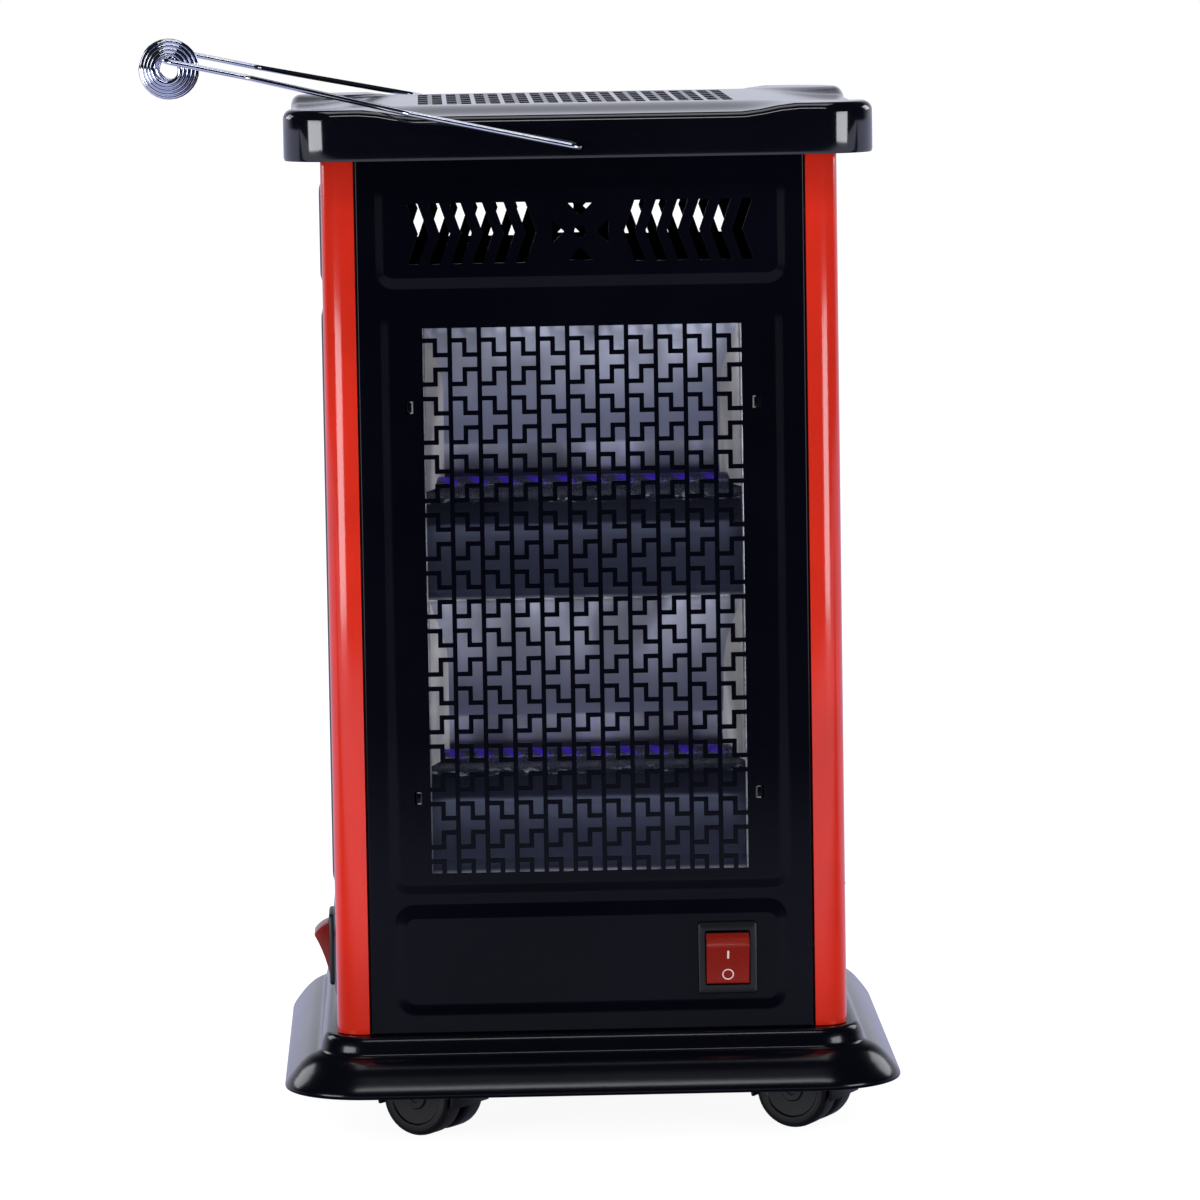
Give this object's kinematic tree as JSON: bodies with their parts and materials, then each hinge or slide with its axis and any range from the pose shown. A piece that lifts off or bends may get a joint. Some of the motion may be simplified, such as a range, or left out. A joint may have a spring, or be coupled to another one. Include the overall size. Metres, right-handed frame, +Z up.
{
  "type": "quartz space heater",
  "caption": "Square column space heater with quartz tubes behind grilles on every side and on top, rocker switches, castors and a folding wire handle.",
  "frame": {"origin": "centre of the base deck's underside, the plane that the castors are fitted to", "axes": "+Z up along the column, -Y out of the front, +X to the right as seen from the front; the handle lies folded down towards -X"},
  "size_m": [0.3219, 0.265, 0.4698],
  "materials": {
    "black_enamel": "gloss stove enamel, near black",
    "red_enamel": "gloss red enamel",
    "black_plastic": "satin black moulding",
    "pan_plastic": "gloss black moulding",
    "red_plastic": "translucent red moulding",
    "chrome": "bright plated wire",
    "bright_aluminium": "rolled bright sheet",
    "quartz": "frosted quartz",
    "ceramic": "unglazed, cream",
    "zinc_steel": "zinc-coated sheet",
    "wheel_nylon": "black nylon"
  },
  "bodies": {
    "chassis": {"base_pan": "pan_plastic", "heat_shield": "zinc_steel", "front_panel": "black_enamel", "left_panel": "black_enamel", "rear_panel": "black_enamel", "right_panel": "black_enamel", "corner_post_front_left": "red_enamel", "corner_post_front_right": "red_enamel", "corner_post_rear_left": "red_enamel", "corner_post_rear_right": "red_enamel", "top_cover": "black_enamel", "front_reflector": "bright_aluminium", "left_reflector": "bright_aluminium", "rear_reflector": "bright_aluminium", "right_reflector": "bright_aluminium", "top_reflector": "bright_aluminium", "front_quartz_tube_lower": "quartz", "front_quartz_tube_upper": "quartz", "left_quartz_tube_lower": "quartz", "left_quartz_tube_upper": "quartz", "rear_quartz_tube_lower": "quartz", "rear_quartz_tube_upper": "quartz", "right_quartz_tube_lower": "quartz", "right_quartz_tube_upper": "quartz", "top_quartz_tube": "quartz", "front_tube_holder_a": "ceramic", "front_tube_holder_b": "ceramic", "left_tube_holder_a": "ceramic", "left_tube_holder_b": "ceramic", "rear_tube_holder_a": "ceramic", "rear_tube_holder_b": "ceramic", "right_tube_holder_a": "ceramic", "right_tube_holder_b": "ceramic", "top_tube_holder_a": "ceramic", "top_tube_holder_b": "ceramic", "front_switch_housing": "black_plastic", "left_switch_housing": "black_plastic", "rear_switch_housing": "black_plastic", "right_switch_housing": "black_plastic", "cord_gland": "black_plastic", "terminal_block": "ceramic", "tip_over_switch": "black_plastic", "thermal_cutout": "zinc_steel"},
    "handle": {"handle": "chrome"},
    "front_rocker": {"front_rocker": "red_plastic"},
    "left_rocker": {"left_rocker": "red_plastic"},
    "rear_rocker": {"rear_rocker": "red_plastic"},
    "right_rocker": {"right_rocker": "red_plastic"},
    "castor_front_left": {"castor_front_left": "black_plastic"},
    "castor_front_right": {"castor_front_right": "black_plastic"},
    "castor_rear_left": {"castor_rear_left": "black_plastic"},
    "castor_rear_right": {"castor_rear_right": "black_plastic"},
    "wheel_front_left_a": {"wheel_front_left_a": "wheel_nylon"},
    "wheel_front_left_b": {"wheel_front_left_b": "wheel_nylon"},
    "wheel_front_right_a": {"wheel_front_right_a": "wheel_nylon"},
    "wheel_front_right_b": {"wheel_front_right_b": "wheel_nylon"},
    "wheel_rear_left_a": {"wheel_rear_left_a": "wheel_nylon"},
    "wheel_rear_left_b": {"wheel_rear_left_b": "wheel_nylon"},
    "wheel_rear_right_a": {"wheel_rear_right_a": "wheel_nylon"},
    "wheel_rear_right_b": {"wheel_rear_right_b": "wheel_nylon"}
  },
  "joints": [
    {"name": "handle_fold", "type": "hinge", "parent": "chassis", "child": "handle", "pos_m": [0, 0, 0.3821], "axis": [0, 1, 0], "range_deg": [0, 155.7]},
    {"name": "front_rocker_tilt", "type": "hinge", "parent": "chassis", "child": "front_rocker", "pos_m": [0.058, -0.1097, 0.0345], "axis": [-1, 0, 0], "range_deg": [0, 40.8]},
    {"name": "left_rocker_tilt", "type": "hinge", "parent": "chassis", "child": "left_rocker", "pos_m": [-0.1097, -0.058, 0.0345], "axis": [0, 1, 0], "range_deg": [0, 40.8]},
    {"name": "rear_rocker_tilt", "type": "hinge", "parent": "chassis", "child": "rear_rocker", "pos_m": [-0.058, 0.1097, 0.0345], "axis": [1, 0, 0], "range_deg": [0, 40.8]},
    {"name": "right_rocker_tilt", "type": "hinge", "parent": "chassis", "child": "right_rocker", "pos_m": [0.1097, 0.058, 0.0345], "axis": [0, -1, 0], "range_deg": [0, 40.8]},
    {"name": "castor_front_left_swivel", "type": "hinge", "parent": "chassis", "child": "castor_front_left", "pos_m": [-0.08, -0.08, 0], "axis": [0, 0, 1], "continuous": true},
    {"name": "castor_front_right_swivel", "type": "hinge", "parent": "chassis", "child": "castor_front_right", "pos_m": [0.08, -0.08, 0], "axis": [0, 0, 1], "continuous": true},
    {"name": "castor_rear_left_swivel", "type": "hinge", "parent": "chassis", "child": "castor_rear_left", "pos_m": [-0.08, 0.08, 0], "axis": [0, 0, 1], "continuous": true},
    {"name": "castor_rear_right_swivel", "type": "hinge", "parent": "chassis", "child": "castor_rear_right", "pos_m": [0.08, 0.08, 0], "axis": [0, 0, 1], "continuous": true},
    {"name": "wheel_front_left_a_roll", "type": "hinge", "parent": "castor_front_left", "child": "wheel_front_left_a", "pos_m": [-0.06881, -0.08718, -0.02583], "axis": [0.5402, 0.8415, 0], "continuous": true},
    {"name": "wheel_front_left_b_roll", "type": "hinge", "parent": "castor_front_left", "child": "wheel_front_left_b", "pos_m": [-0.06881, -0.08718, -0.02583], "axis": [0.5402, 0.8415, 0], "continuous": true},
    {"name": "wheel_front_right_a_roll", "type": "hinge", "parent": "castor_front_right", "child": "wheel_front_right_a", "pos_m": [0.09185, -0.08604, -0.02583], "axis": [0.454, 0.891, 0], "continuous": true},
    {"name": "wheel_front_right_b_roll", "type": "hinge", "parent": "castor_front_right", "child": "wheel_front_right_b", "pos_m": [0.09185, -0.08604, -0.02583], "axis": [0.454, 0.891, 0], "continuous": true},
    {"name": "wheel_rear_left_a_roll", "type": "hinge", "parent": "castor_rear_left", "child": "wheel_rear_left_a", "pos_m": [-0.06952, 0.07181, -0.02583], "axis": [0.6157, 0.788, 0], "continuous": true},
    {"name": "wheel_rear_left_b_roll", "type": "hinge", "parent": "castor_rear_left", "child": "wheel_rear_left_b", "pos_m": [-0.06952, 0.07181, -0.02583], "axis": [0.6157, 0.788, 0], "continuous": true},
    {"name": "wheel_rear_right_a_roll", "type": "hinge", "parent": "castor_rear_right", "child": "wheel_rear_right_a", "pos_m": [0.09152, 0.07335, -0.02583], "axis": [0.5, 0.866, 0], "continuous": true},
    {"name": "wheel_rear_right_b_roll", "type": "hinge", "parent": "castor_rear_right", "child": "wheel_rear_right_b", "pos_m": [0.09152, 0.07335, -0.02583], "axis": [0.5, 0.866, 0], "continuous": true}
  ]
}
